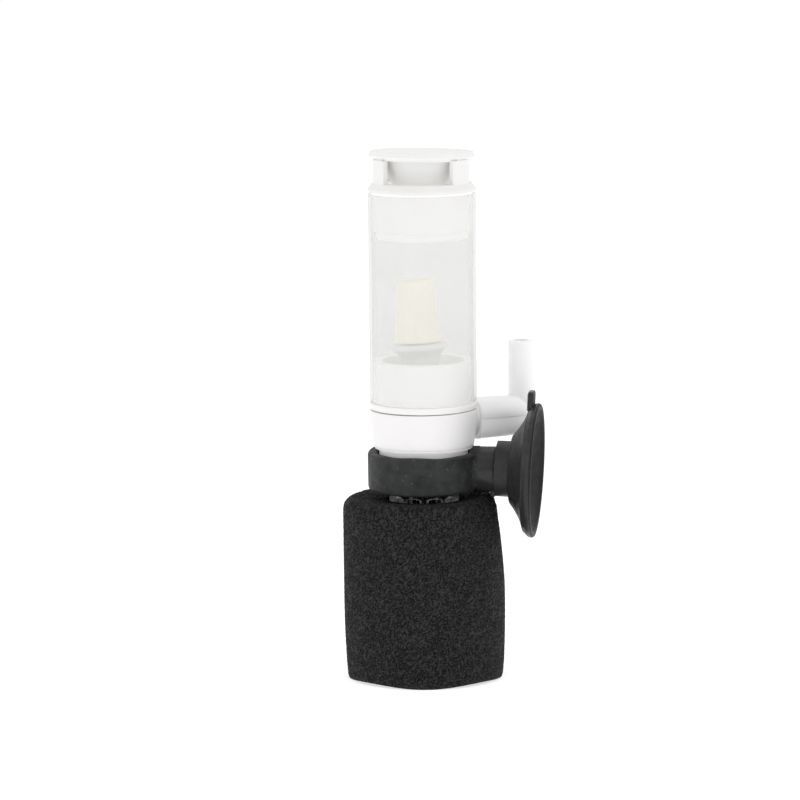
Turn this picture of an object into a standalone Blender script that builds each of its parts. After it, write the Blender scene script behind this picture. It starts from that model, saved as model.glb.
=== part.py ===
"""Air-driven mini sponge filter with a diffuser stone in a frosted bubble tube.

Frame: origin at the centre of the sponge's flat bottom, +Z up along the tube, +X along the axis of
the suction cup, towards the glass. Twelve pieces, each one closed solid. Blender 4.5, metres.
"""

import math

import bmesh
import bpy
from mathutils import Matrix, Vector

MM = 0.001
GAP = 0.3 * MM  # clearance between pieces that touch on the real object

# Numbers of sides on round shapes.
SIDES = 40
SMALL_SIDES = 24
BORE_SIDES = 16

# Filter sponge, a barrel of foam.
SPONGE_HEIGHT = 33.5 * MM
SPONGE_BOTTOM_RADIUS = 14.4 * MM
SPONGE_MIDDLE_RADIUS = 14.85 * MM
SPONGE_TOP_RADIUS = 14.3 * MM
SPONGE_EDGE = 1.0 * MM
SPONGE_FLOOR = 5.0 * MM
SPONGE_BORE_RADIUS = 6.8 * MM

# Slotted intake strainer, pushed into the sponge from above and into the neck of the base.
STRAINER_RADIUS = 6.5 * MM
STRAINER_WALL = 1.2 * MM
STRAINER_FLOOR = 1.5 * MM
STRAINER_TOP = 41.0 * MM
SLOT_COUNT = 9
SLOT_WIDTH = 2.9 * MM
FIRST_SLOT_ANGLE = math.radians(15.0)
SLOT_HEIGHT = 12.0 * MM
SLOT_TOPS = (20.5 * MM, 34.5 * MM)

# Inlet base: a neck for the holder ring, a collar, and a hub that carries the air upwards.
NECK_RADIUS = 8.25 * MM
NECK_BOTTOM = 35.9 * MM
COLLAR_BOTTOM = 42.9 * MM
COLLAR_TOP = 50.0 * MM
COLLAR_BOTTOM_RADIUS = 9.1 * MM
COLLAR_TOP_RADIUS = 10.0 * MM
SPIGOT_RADIUS = 7.15 * MM
SPIGOT_WALL = 0.85 * MM
SPIGOT_TOP = 54.0 * MM
HUB_RADIUS = 3.6 * MM
HUB_BOTTOM = 44.6 * MM
HUB_TOP = 55.0 * MM
HUB_SOCKET_RADIUS = 2.6 * MM
HUB_SOCKET_BOTTOM = 51.0 * MM
SPOKE_THICKNESS = 1.6 * MM
SPOKE_TOP = 49.0 * MM

# Air passage, from the nipple through the arm, the boss and the hub.
ARM_ANGLE = math.radians(40.0)
ARM_AXIS_HEIGHT = 47.8 * MM
AIR_RADIUS = 1.2 * MM
HUB_CHAMBER_RADIUS = 1.6 * MM
BOSS_RADIUS = 3.95 * MM
BOSS_END = 10.05 * MM
SWIVEL_PIN_RADIUS = 2.0 * MM
SWIVEL_PIN_END = 16.0 * MM

# Elbow that swivels on the pin of the base, with the nipple for the airline.
ARM_START = BOSS_END + GAP
ARM_END = 20.6 * MM
ARM_RADIUS = 3.9 * MM
ARM_END_RADIUS = 3.75 * MM
NIPPLE_DISTANCE = 21.8 * MM
NIPPLE_BOTTOM = 44.6 * MM
NIPPLE_TOP = 61.4 * MM
NIPPLE_RADIUS = 2.5 * MM
NIPPLE_TIP_RADIUS = 2.35 * MM
NIPPLE_BORE_RADIUS = 1.5 * MM

# Tube adaptor, which seats the bubble tube on the base.
FLANGE_TOP = 51.4 * MM
FLANGE_RADIUS = 10.0 * MM
SLEEVE_RADIUS = 8.6 * MM
SLEEVE_BORE_RADIUS = 7.5 * MM
ADAPTOR_TOP = 58.7 * MM

# Stone holder, a hollow stem with a flared plate, and the stone on its spigot.
STEM_PLUG_RADIUS = 2.3 * MM
STEM_BOTTOM = 51.3 * MM
STEM_RADIUS = 3.45 * MM
STEM_BORE_RADIUS = 0.9 * MM
PLATE_BOTTOM = 60.4 * MM
PLATE_TOP = 62.3 * MM
PLATE_RADIUS = 5.2 * MM
PLATE_EDGE = 0.7 * MM
STONE_SPIGOT_RADIUS = 1.8 * MM
STONE_SPIGOT_TOP = 67.0 * MM
STONE_BOTTOM = 62.6 * MM
STONE_TOP = 74.0 * MM
STONE_BOTTOM_RADIUS = 4.2 * MM
STONE_TOP_RADIUS = 3.5 * MM
STONE_SOCKET_RADIUS = 2.1 * MM
STONE_SOCKET_TOP = 67.4 * MM
STONE_EDGE = 0.8 * MM

# Bubble tube and the outlet cap that plugs it.
TUBE_RADIUS = 9.9 * MM
TUBE_BORE_RADIUS = 8.9 * MM
TUBE_BOTTOM = FLANGE_TOP + GAP
TUBE_TOP = 90.1 * MM
CAP_LEAD_BOTTOM = 80.8 * MM
CAP_LEAD_TOP = 82.5 * MM
CAP_LEAD_RADIUS = 8.2 * MM
CAP_RIM_BOTTOM = TUBE_TOP + GAP
CAP_RIM_RADIUS = 10.0 * MM
CAP_RIM_TOP = 92.2 * MM
CAP_SHOULDER = 1.1 * MM
POST_ANGLES = (-25.0, 95.0, 215.0)
POST_SPREAD = math.radians(36.0)
POST_INNER_RADIUS = 7.7 * MM
POST_OUTER_RADIUS = 9.3 * MM
PEG_INNER_RADIUS = 8.3 * MM
PEG_OUTER_RADIUS = 8.9 * MM
PEG_HEIGHT = 1.0 * MM
PEG_SPREAD = 0.6 * POST_SPREAD
POST_ROOT = 0.5 * MM

# Flow deflector, a disc with a trumpet below it, pushed onto the pegs of the cap.
DISC_BOTTOM = 96.0 * MM
DISC_TOP = 98.0 * MM
DISC_RADIUS = 9.95 * MM
DISC_CHAMFER = 0.55 * MM
TRUMPET_TIP = 91.6 * MM
TRUMPET_TIP_RADIUS = 3.6 * MM
TRUMPET_TOP_RADIUS = 7.7 * MM
TRUMPET_FLARE = 1.5

# Holder ring on the neck, with the stub that the suction cup plugs into.
RING_INNER_RADIUS = NECK_RADIUS + GAP
RING_OUTER_RADIUS = 10.4 * MM
RING_BOTTOM = 35.5 * MM
RING_TOP = 42.5 * MM
RING_EDGE = 0.5 * MM
CUP_AXIS_HEIGHT = 39.0 * MM
STUB_RADIUS = 4.2 * MM
STUB_START = 9.6 * MM
STUB_END = 13.4 * MM
STUB_BORE_RADIUS = 1.9 * MM

# Suction cup: boss, cone, a thick rim, a pull tab and the pin that turns in the stub.
BOSS_START = STUB_END + GAP
CUP_BOSS_RADIUS = 5.1 * MM
CUP_CONE_START = 15.9 * MM
CUP_RIM_FACE = 21.2 * MM
CUP_RIM_RADIUS = 12.4 * MM
CUP_RIM_BAND = 1.3 * MM
CUP_LIP_WIDTH = 1.2 * MM
CUP_HOLLOW_DEPTH = 4.5 * MM
CUP_HOLLOW_RADIUS = 4.2 * MM
CUP_HOLLOW_DISH = 0.3 * MM
CUP_RIM_CHAMFER = 0.45 * MM
CUP_PIN_RADIUS = 1.6 * MM
CUP_PIN_END = 9.2 * MM
TAB_REACH = 14.4 * MM
TAB_FOOT = 11.0 * MM
TAB_WIDTH = 4.2 * MM
TAB_START = 19.5 * MM
TAB_THICKNESS = 1.0 * MM
TAB_CORNER = 0.8 * MM


def clear_scene():
    """Empties the scene of its objects."""
    for item in list(bpy.data.objects):
        bpy.data.objects.remove(item)


def make_material(name, colour, roughness, alpha=1.0):
    """A Principled material of one colour."""
    material = bpy.data.materials.new(name)
    material.use_nodes = True
    shader = material.node_tree.nodes["Principled BSDF"]
    shader.inputs["Base Color"].default_value = (*colour, 1.0)
    shader.inputs["Roughness"].default_value = roughness
    shader.inputs["Metallic"].default_value = 0.0
    shader.inputs["Alpha"].default_value = alpha
    return material


def link_mesh(name, shape, material=None):
    """Makes an object from a bmesh, with its faces pointing out and its round parts smooth."""
    bmesh.ops.remove_doubles(shape, verts=shape.verts, dist=0.001 * MM)
    bmesh.ops.recalc_face_normals(shape, faces=shape.faces)
    mesh = bpy.data.meshes.new(name)
    shape.to_mesh(mesh)
    shape.free()
    mesh.shade_smooth()
    mesh.set_sharp_from_angle(angle=math.radians(35.0))
    if material is not None:
        mesh.materials.append(material)
    piece = bpy.data.objects.new(name, mesh)
    bpy.context.scene.collection.objects.link(piece)
    return piece


def arc(centre_r, centre_z, radius, start, end, steps=4):
    """Points of an arc in the (r, z) half plane, with its angles in degrees."""
    points = []
    for i in range(steps + 1):
        angle = math.radians(start + (end - start) * i / steps)
        points.append((centre_r + radius * math.cos(angle), centre_z + radius * math.sin(angle)))
    return points


def turned_shape(outline, sides, closed):
    """Spins an outline of (r, z) points about the Z axis. An open one starts and ends on the axis."""
    shape = bmesh.new()
    verts = [shape.verts.new((r, 0.0, z)) for r, z in outline]
    edges = [shape.edges.new(pair) for pair in zip(verts, verts[1:])]
    if closed:
        edges.append(shape.edges.new((verts[-1], verts[0])))
    bmesh.ops.spin(
        shape,
        geom=verts + edges,
        cent=(0.0, 0.0, 0.0),
        axis=(0.0, 0.0, 1.0),
        angle=2.0 * math.pi,
        steps=sides,
        use_merge=True,
    )
    bmesh.ops.remove_doubles(shape, verts=shape.verts, dist=0.001 * MM)
    bmesh.ops.dissolve_degenerate(shape, edges=shape.edges, dist=0.001 * MM)
    return shape


def turned(name, outline, material=None, sides=SIDES):
    """A turned piece. Its outline is closed unless both of its ends lie on the axis."""
    closed = outline[0][0] > 0.0 or outline[-1][0] > 0.0
    return link_mesh(name, turned_shape(outline, sides, closed), material)


def extruded_shape(outline, direction):
    """A prism from a flat outline of 3-D points."""
    shape = bmesh.new()
    face = shape.faces.new([shape.verts.new(point) for point in outline])
    result = bmesh.ops.extrude_face_region(shape, geom=[face])
    moved = [item for item in result["geom"] if isinstance(item, bmesh.types.BMVert)]
    bmesh.ops.translate(shape, verts=moved, vec=direction)
    return shape


def arc_block_shape(inner, outer, bottom, top, centre_angle, spread, steps=6):
    """A block between two radii and two angles about the Z axis."""
    angles = [centre_angle + spread * (i / steps - 0.5) for i in range(steps + 1)]
    outline = [(outer * math.cos(a), outer * math.sin(a), bottom) for a in angles]
    outline += [(inner * math.cos(a), inner * math.sin(a), bottom) for a in reversed(angles)]
    return extruded_shape(outline, (0.0, 0.0, top - bottom))


def tool(name, shape):
    """A shape that only adds to a piece or cuts it, and isn't a piece itself."""
    piece = link_mesh(name, shape)
    piece.hide_render = True
    piece.display_type = "WIRE"
    return piece


def combine(piece, other, operation, solver="EXACT"):
    """Joins or cuts a piece with another shape. Shapes that only just cross need MANIFOLD."""
    modifier = piece.modifiers.new(operation.title() + "_" + other.name, "BOOLEAN")
    modifier.operation = operation
    modifier.solver = solver
    modifier.object = other


def lay_along(shape, direction, start, height):
    """Turns a shape made along +Z so that it runs outwards, and moves it to its height."""
    quarter = Matrix.Rotation(math.pi / 2.0, 4, "Y")
    swing = Matrix.Rotation(direction, 4, "Z")
    place = Matrix.Translation((0.0, 0.0, height))
    shift = Matrix.Translation((0.0, 0.0, start))
    bmesh.ops.transform(shape, matrix=place @ swing @ quarter @ shift, verts=shape.verts)


def radial_cylinder(radius, start, end, direction, height, sides=SMALL_SIDES, end_radius=None):
    """A cylinder or slight cone that runs outwards from one distance to another."""
    tip = radius if end_radius is None else end_radius
    outline = [(0.0, end - start), (tip, end - start), (radius, 0.0), (0.0, 0.0)]
    shape = turned_shape(outline, sides, closed=False)
    lay_along(shape, direction, start, height)
    return shape


def upright_cylinder(radius, bottom, top, sides=SMALL_SIDES, top_radius=None):
    """A cylinder or slight cone on the Z axis."""
    upper = radius if top_radius is None else top_radius
    return turned_shape([(0.0, top), (upper, top), (radius, bottom), (0.0, bottom)], sides, False)


def make_sponge(material):
    """A barrel of foam with a blind bore."""
    belly = SPONGE_HEIGHT - SPONGE_EDGE
    side = []
    for i in range(6):
        t = i / 5.0
        straight = SPONGE_BOTTOM_RADIUS + (SPONGE_TOP_RADIUS - SPONGE_BOTTOM_RADIUS) * t
        chord = (SPONGE_BOTTOM_RADIUS + SPONGE_TOP_RADIUS) / 2.0
        bulge = (SPONGE_MIDDLE_RADIUS - chord) * math.sin(math.pi * t)
        side.append((straight + bulge, belly * t))
    edge = arc(SPONGE_TOP_RADIUS - SPONGE_EDGE, belly, SPONGE_EDGE, 0.0, 90.0, 3)[1:]
    bore = [
        (SPONGE_BORE_RADIUS, SPONGE_HEIGHT),
        (SPONGE_BORE_RADIUS, SPONGE_FLOOR),
        (0.0, SPONGE_FLOOR),
    ]
    turned("filter_sponge", [(0.0, 0.0)] + side + edge + bore, material)


def slot_outline(width, bottom, top, distance, steps=4):
    """A slot with round ends, in the plane at a distance from the Z axis along +X."""
    half = width / 2.0
    upper = arc(0.0, top - half, half, 0.0, 180.0, steps)
    lower = arc(0.0, bottom + half, half, 180.0, 360.0, steps)
    return [(distance, across, height) for across, height in upper + lower]


def make_strainer(material):
    """A closed-bottomed tube with two rows of slots."""
    inner = STRAINER_RADIUS - STRAINER_WALL
    bottom = SPONGE_FLOOR + GAP
    outline = [
        (0.0, bottom),
        (STRAINER_RADIUS, bottom),
        (STRAINER_RADIUS, STRAINER_TOP),
        (inner, STRAINER_TOP),
        (inner, bottom + STRAINER_FLOOR),
        (0.0, bottom + STRAINER_FLOOR),
    ]
    strainer = turned("intake_strainer", outline, material)
    for row, top in enumerate(SLOT_TOPS):
        for i in range(SLOT_COUNT):
            slot = extruded_shape(
                slot_outline(SLOT_WIDTH, top - SLOT_HEIGHT, top, inner - 2.0 * STRAINER_WALL),
                (4.0 * STRAINER_WALL, 0.0, 0.0),
            )
            turn = Matrix.Rotation(FIRST_SLOT_ANGLE + 2.0 * math.pi * i / SLOT_COUNT, 4, "Z")
            bmesh.ops.transform(slot, matrix=turn, verts=slot.verts)
            combine(strainer, tool(f"slot_{row}_{i}", slot), "DIFFERENCE")


def add_hub(base):
    """The hub on the axis, and two spokes that hold it with the air pin as the third."""
    combine(base, tool("hub", upright_cylinder(HUB_RADIUS, HUB_BOTTOM, HUB_TOP)), "UNION", "MANIFOLD")
    reach = (SPIGOT_RADIUS + COLLAR_BOTTOM_RADIUS) / 2.0
    half = SPOKE_THICKNESS / 2.0
    bottom = HUB_BOTTOM + GAP
    for i in (1, 2):
        outline = [(0.0, -half, bottom), (reach, -half, bottom), (reach, half, bottom), (0.0, half, bottom)]
        spoke = extruded_shape(outline, (0.0, 0.0, SPOKE_TOP - bottom))
        turn = Matrix.Rotation(ARM_ANGLE + 2.0 * math.pi * i / 3.0, 4, "Z")
        bmesh.ops.transform(spoke, matrix=turn, verts=spoke.verts)
        combine(base, tool(f"spoke_{i}", spoke), "UNION", "MANIFOLD")


def add_boss_and_pin(base):
    """The boss on the collar's side, and the pin that the elbow turns on, which reaches the hub."""
    boss = radial_cylinder(BOSS_RADIUS, SPIGOT_RADIUS, BOSS_END, ARM_ANGLE, ARM_AXIS_HEIGHT)
    # The boss stops just below the collar's top, so that the adaptor's flange sits above it.
    bmesh.ops.bisect_plane(
        boss,
        geom=boss.verts[:] + boss.edges[:] + boss.faces[:],
        plane_co=(0.0, 0.0, COLLAR_TOP - GAP / 3.0),
        plane_no=(0.0, 0.0, 1.0),
        clear_outer=True,
    )
    bmesh.ops.holes_fill(boss, edges=[edge for edge in boss.edges if edge.is_boundary])
    combine(base, tool("boss", boss), "UNION", "MANIFOLD")
    pin = radial_cylinder(SWIVEL_PIN_RADIUS, 0.0, SWIVEL_PIN_END, ARM_ANGLE, ARM_AXIS_HEIGHT)
    combine(base, tool("swivel_pin", pin), "UNION", "MANIFOLD")


def cut_air_way(base):
    """The way of the air: in through the pin, up the hub's chamber and into the stem's socket."""
    air = radial_cylinder(AIR_RADIUS, 0.0, SWIVEL_PIN_END + MM, ARM_ANGLE, ARM_AXIS_HEIGHT, BORE_SIDES)
    combine(base, tool("air_way", air), "DIFFERENCE", "MANIFOLD")
    floor = ARM_AXIS_HEIGHT - AIR_RADIUS
    chamber = upright_cylinder(HUB_CHAMBER_RADIUS, floor, HUB_SOCKET_BOTTOM + MM, BORE_SIDES)
    combine(base, tool("hub_chamber", chamber), "DIFFERENCE", "MANIFOLD")
    socket = upright_cylinder(HUB_SOCKET_RADIUS, HUB_SOCKET_BOTTOM, HUB_TOP + MM)
    combine(base, tool("hub_socket", socket), "DIFFERENCE", "MANIFOLD")


def make_inlet_base(material):
    """Neck, collar and spigot in one turned shell, with the hub, spokes, boss and swivel pin."""
    seat = STRAINER_RADIUS + GAP
    seat_top = STRAINER_TOP + GAP
    spigot_bore = SPIGOT_RADIUS - SPIGOT_WALL
    outline = [
        (NECK_RADIUS, NECK_BOTTOM),
        (NECK_RADIUS, COLLAR_BOTTOM),
        (COLLAR_BOTTOM_RADIUS, COLLAR_BOTTOM),
        (COLLAR_TOP_RADIUS, COLLAR_TOP),
        (SPIGOT_RADIUS, COLLAR_TOP),
        (SPIGOT_RADIUS, SPIGOT_TOP),
        (spigot_bore, SPIGOT_TOP),
        (spigot_bore, COLLAR_BOTTOM),
        (STRAINER_RADIUS - STRAINER_WALL, seat_top),
        (seat, seat_top),
        (seat, NECK_BOTTOM),
    ]
    base = turned("inlet_base", outline, material)
    add_hub(base)
    add_boss_and_pin(base)
    cut_air_way(base)


def make_elbow(material):
    """An arm with a blind socket on the swivel pin, and an upright nipple open to it."""
    arm = radial_cylinder(
        ARM_RADIUS, ARM_START, ARM_END, ARM_ANGLE, ARM_AXIS_HEIGHT, SMALL_SIDES, ARM_END_RADIUS
    )
    elbow = link_mesh("air_inlet_elbow", arm, material)
    place = Matrix.Translation(
        (NIPPLE_DISTANCE * math.cos(ARM_ANGLE), NIPPLE_DISTANCE * math.sin(ARM_ANGLE), 0.0)
    )
    nipple = upright_cylinder(NIPPLE_RADIUS, NIPPLE_BOTTOM, NIPPLE_TOP, SMALL_SIDES, NIPPLE_TIP_RADIUS)
    bmesh.ops.transform(nipple, matrix=place, verts=nipple.verts)
    combine(elbow, tool("nipple", nipple), "UNION", "MANIFOLD")
    socket = radial_cylinder(
        SWIVEL_PIN_RADIUS + GAP, ARM_START - MM, SWIVEL_PIN_END + GAP, ARM_ANGLE, ARM_AXIS_HEIGHT
    )
    combine(elbow, tool("pin_socket", socket), "DIFFERENCE", "MANIFOLD")
    duct = radial_cylinder(
        AIR_RADIUS, SWIVEL_PIN_END, NIPPLE_DISTANCE, ARM_ANGLE, ARM_AXIS_HEIGHT, BORE_SIDES
    )
    combine(elbow, tool("elbow_duct", duct), "DIFFERENCE", "MANIFOLD")
    bore_floor = ARM_AXIS_HEIGHT - NIPPLE_BORE_RADIUS
    bore = upright_cylinder(NIPPLE_BORE_RADIUS, bore_floor, NIPPLE_TOP + MM, BORE_SIDES)
    bmesh.ops.transform(bore, matrix=place, verts=bore.verts)
    combine(elbow, tool("nipple_bore", bore), "DIFFERENCE", "MANIFOLD")
    return elbow


def make_adaptor(material):
    """A flange on the collar, and the sleeve that the bubble tube slides over."""
    outline = [
        (FLANGE_RADIUS, COLLAR_TOP + GAP),
        (FLANGE_RADIUS, FLANGE_TOP),
        (SLEEVE_RADIUS, FLANGE_TOP),
        (SLEEVE_RADIUS, ADAPTOR_TOP),
        (SLEEVE_BORE_RADIUS, ADAPTOR_TOP),
        (SLEEVE_BORE_RADIUS, COLLAR_TOP + GAP),
    ]
    turned("tube_adaptor", outline, material)


def make_stone_holder(material):
    """A hollow stem, plugged into the hub, with a flared plate and a spigot for the stone."""
    flare_middle = (STEM_RADIUS + PLATE_RADIUS) / 2.0
    outline = [
        (STEM_PLUG_RADIUS, STEM_BOTTOM),
        (STEM_PLUG_RADIUS, HUB_TOP + GAP),
        (STEM_RADIUS, HUB_TOP + GAP),
        (STEM_RADIUS, PLATE_BOTTOM - PLATE_EDGE),
        (flare_middle, PLATE_BOTTOM + PLATE_EDGE / 2.0),
        (PLATE_RADIUS, PLATE_TOP - PLATE_EDGE),
        (PLATE_RADIUS, PLATE_TOP),
        (STONE_SPIGOT_RADIUS, PLATE_TOP),
        (STONE_SPIGOT_RADIUS, STONE_SPIGOT_TOP),
        (STEM_BORE_RADIUS, STONE_SPIGOT_TOP),
        (STEM_BORE_RADIUS, STEM_BOTTOM),
    ]
    turned("stone_holder", outline, material, SMALL_SIDES)


def make_stone(material):
    """A tapered plug of porous ceramic with a blind socket."""
    rise = STONE_TOP - STONE_EDGE
    outline = [(0.0, STONE_SOCKET_TOP), (STONE_SOCKET_RADIUS, STONE_SOCKET_TOP)]
    outline += [(STONE_SOCKET_RADIUS, STONE_BOTTOM), (STONE_BOTTOM_RADIUS, STONE_BOTTOM)]
    outline += arc(STONE_TOP_RADIUS - STONE_EDGE, rise, STONE_EDGE, 0.0, 90.0, 3)
    outline += [(0.0, STONE_TOP)]
    turned("air_stone", outline, material, SMALL_SIDES)


def make_tube(material):
    """A plain tube, open at both ends."""
    outline = [
        (TUBE_RADIUS, TUBE_BOTTOM),
        (TUBE_RADIUS, TUBE_TOP),
        (TUBE_BORE_RADIUS, TUBE_TOP),
        (TUBE_BORE_RADIUS, TUBE_BOTTOM),
    ]
    turned("bubble_tube", outline, material)


def make_cap(material):
    """A plug with a rounded rim and three pegged posts."""
    outline = [(CAP_LEAD_RADIUS, CAP_LEAD_BOTTOM), (CAP_LEAD_RADIUS, CAP_LEAD_TOP)]
    outline += [(SLEEVE_RADIUS, CAP_LEAD_TOP), (SLEEVE_RADIUS, CAP_RIM_BOTTOM)]
    outline += [(CAP_RIM_RADIUS, CAP_RIM_BOTTOM)]
    outline += arc(CAP_RIM_RADIUS - CAP_SHOULDER, CAP_RIM_TOP - CAP_SHOULDER, CAP_SHOULDER, 0.0, 90.0, 3)
    outline += [(SLEEVE_BORE_RADIUS, CAP_RIM_TOP), (SLEEVE_BORE_RADIUS, CAP_LEAD_BOTTOM)]
    cap = turned("outlet_cap", outline, material)
    foot = CAP_RIM_TOP - POST_ROOT
    post_top = DISC_BOTTOM - GAP
    peg_foot = post_top - POST_ROOT
    peg_top = post_top + PEG_HEIGHT
    for i, degrees in enumerate(POST_ANGLES):
        angle = math.radians(degrees)
        post = arc_block_shape(POST_INNER_RADIUS, POST_OUTER_RADIUS, foot, post_top, angle, POST_SPREAD)
        combine(cap, tool(f"post_{i}", post), "UNION", "MANIFOLD")
        peg = arc_block_shape(PEG_INNER_RADIUS, PEG_OUTER_RADIUS, peg_foot, peg_top, angle, PEG_SPREAD)
        combine(cap, tool(f"peg_{i}", peg), "UNION", "MANIFOLD")


def make_deflector(material):
    """A chamfered disc with a trumpet below it, and a groove for the pegs of the cap."""
    flare = []
    for i in range(6):
        t = i / 5.0
        spread = TRUMPET_TIP_RADIUS + (TRUMPET_TOP_RADIUS - TRUMPET_TIP_RADIUS) * t ** TRUMPET_FLARE
        flare.append((spread, TRUMPET_TIP + (DISC_BOTTOM - TRUMPET_TIP) * t))
    groove_top = DISC_BOTTOM + PEG_HEIGHT
    outline = [(0.0, TRUMPET_TIP)] + flare
    outline += [
        (PEG_INNER_RADIUS - GAP, DISC_BOTTOM),
        (PEG_INNER_RADIUS - GAP, groove_top),
        (PEG_OUTER_RADIUS + GAP, groove_top),
        (PEG_OUTER_RADIUS + GAP, DISC_BOTTOM),
        (DISC_RADIUS, DISC_BOTTOM + DISC_CHAMFER),
        (DISC_RADIUS, DISC_TOP - DISC_CHAMFER),
        (DISC_RADIUS - DISC_CHAMFER, DISC_TOP),
        (0.0, DISC_TOP),
    ]
    turned("flow_deflector", outline, material)


def make_holder_ring(material):
    """A ring round the neck with a bored stub towards the glass."""
    outline = [
        (RING_INNER_RADIUS, RING_BOTTOM),
        (RING_OUTER_RADIUS - RING_EDGE, RING_BOTTOM),
        (RING_OUTER_RADIUS, RING_BOTTOM + RING_EDGE),
        (RING_OUTER_RADIUS, RING_TOP - RING_EDGE),
        (RING_OUTER_RADIUS - RING_EDGE, RING_TOP),
        (RING_INNER_RADIUS, RING_TOP),
    ]
    ring = turned("holder_ring", outline, material)
    # The stub is taller than the ring, so it starts clear of the collar above.
    stub = radial_cylinder(STUB_RADIUS, STUB_START, STUB_END, 0.0, CUP_AXIS_HEIGHT)
    combine(ring, tool("stub", stub), "UNION")
    bore = radial_cylinder(STUB_BORE_RADIUS, NECK_RADIUS - MM, STUB_END + MM, 0.0, CUP_AXIS_HEIGHT)
    combine(ring, tool("stub_bore", bore), "DIFFERENCE")
    return ring


def make_suction_cup(material):
    """A dished cup with a thick rim, a pull tab and a pin on its back."""
    hollow_floor = CUP_RIM_FACE - CUP_HOLLOW_DEPTH
    rim_back = CUP_RIM_FACE - CUP_RIM_BAND
    # Here z runs along the cup's axis, towards the glass.
    outline = [
        (0.0, CUP_PIN_END),
        (CUP_PIN_RADIUS, CUP_PIN_END),
        (CUP_PIN_RADIUS, BOSS_START),
        (CUP_BOSS_RADIUS, BOSS_START),
        (CUP_BOSS_RADIUS, CUP_CONE_START),
        (CUP_RIM_RADIUS - CUP_RIM_CHAMFER, rim_back),
        (CUP_RIM_RADIUS, rim_back + CUP_RIM_CHAMFER),
        (CUP_RIM_RADIUS, CUP_RIM_FACE),
        (CUP_RIM_RADIUS - CUP_LIP_WIDTH, CUP_RIM_FACE),
        (CUP_HOLLOW_RADIUS, hollow_floor),
        (0.0, hollow_floor - CUP_HOLLOW_DISH),
    ]
    shape = turned_shape(outline, SIDES, closed=False)
    lay_along(shape, 0.0, 0.0, 0.0)
    cup = link_mesh("suction_cup", shape, material)
    half = TAB_WIDTH / 2.0
    tab_outline = [(-half, TAB_FOOT), (half, TAB_FOOT), (half, TAB_REACH - TAB_CORNER)]
    tab_outline += [(half - TAB_CORNER, TAB_REACH), (TAB_CORNER - half, TAB_REACH)]
    tab_outline += [(-half, TAB_REACH - TAB_CORNER)]
    tab = extruded_shape([(TAB_START, across, up) for across, up in tab_outline], (TAB_THICKNESS, 0.0, 0.0))
    tab_tool = tool("pull_tab", tab)
    tab_tool.location = (0.0, 0.0, CUP_AXIS_HEIGHT)
    combine(cup, tab_tool, "UNION")
    cup.location = (0.0, 0.0, CUP_AXIS_HEIGHT)
    return cup


def hang_on_axis(piece, name, point):
    """Parents a moving piece to an empty that stands on its joint's axis."""
    pivot = bpy.data.objects.new(name, None)
    pivot.location = Vector(point)
    bpy.context.scene.collection.objects.link(pivot)
    piece.parent = pivot
    piece.matrix_parent_inverse = Matrix.Translation(-Vector(point))


def build():
    """Makes the materials and the twelve pieces."""
    clear_scene()
    white = (0.90, 0.90, 0.89)
    black = (0.035, 0.037, 0.036)
    make_sponge(make_material("foam", (0.018, 0.018, 0.019), 0.95))
    make_strainer(make_material("clear_plastic", (0.72, 0.75, 0.75), 0.15, 0.4))
    make_inlet_base(make_material("base_plastic", white, 0.35))
    elbow = make_elbow(make_material("elbow_plastic", white, 0.35))
    make_adaptor(make_material("adaptor_plastic", white, 0.4))
    make_stone_holder(make_material("holder_plastic", white, 0.4))
    make_stone(make_material("stone_ceramic", (0.88, 0.84, 0.72), 0.9))
    make_tube(make_material("frosted_plastic", (0.82, 0.84, 0.83), 0.45, 0.45))
    make_cap(make_material("cap_plastic", white, 0.4))
    make_deflector(make_material("deflector_plastic", white, 0.4))
    ring = make_holder_ring(make_material("ring_rubber", black, 0.6))
    cup = make_suction_cup(make_material("cup_rubber", black, 0.45))
    hang_on_axis(ring, "ring_pivot", (0.0, 0.0, CUP_AXIS_HEIGHT))
    hang_on_axis(cup, "cup_pivot", (STUB_END, 0.0, CUP_AXIS_HEIGHT))
    boss_point = (BOSS_END * math.cos(ARM_ANGLE), BOSS_END * math.sin(ARM_ANGLE), ARM_AXIS_HEIGHT)
    hang_on_axis(elbow, "elbow_pivot", boss_point)


build()
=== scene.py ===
"""The looks of an air-driven aquarium sponge filter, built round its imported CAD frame.

The frame is in metres with +Z up. Shapes are drawn here in millimetres and scaled as they are placed.
"""

import math

import bmesh
import bpy
import numpy as np
from mathutils import Matrix, Vector


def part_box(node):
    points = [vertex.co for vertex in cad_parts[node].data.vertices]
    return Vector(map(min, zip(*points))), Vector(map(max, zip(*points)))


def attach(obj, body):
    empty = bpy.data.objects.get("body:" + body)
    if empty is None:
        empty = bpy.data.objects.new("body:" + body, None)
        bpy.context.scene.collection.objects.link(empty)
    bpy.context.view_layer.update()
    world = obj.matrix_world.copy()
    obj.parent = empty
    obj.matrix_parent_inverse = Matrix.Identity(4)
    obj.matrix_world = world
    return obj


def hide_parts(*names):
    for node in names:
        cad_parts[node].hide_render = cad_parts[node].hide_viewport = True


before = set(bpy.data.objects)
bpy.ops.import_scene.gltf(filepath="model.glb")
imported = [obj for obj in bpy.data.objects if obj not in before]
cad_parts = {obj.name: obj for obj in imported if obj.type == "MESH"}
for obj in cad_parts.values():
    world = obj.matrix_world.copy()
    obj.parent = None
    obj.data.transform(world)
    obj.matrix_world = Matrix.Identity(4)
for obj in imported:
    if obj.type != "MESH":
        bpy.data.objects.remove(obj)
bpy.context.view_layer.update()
MM = 0.001


def box_mm(node):
    """A CAD node's lowest and highest corner, in millimetres."""
    low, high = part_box(node)
    return low / MM, high / MM


# ---- camera, floor and light ----

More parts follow.
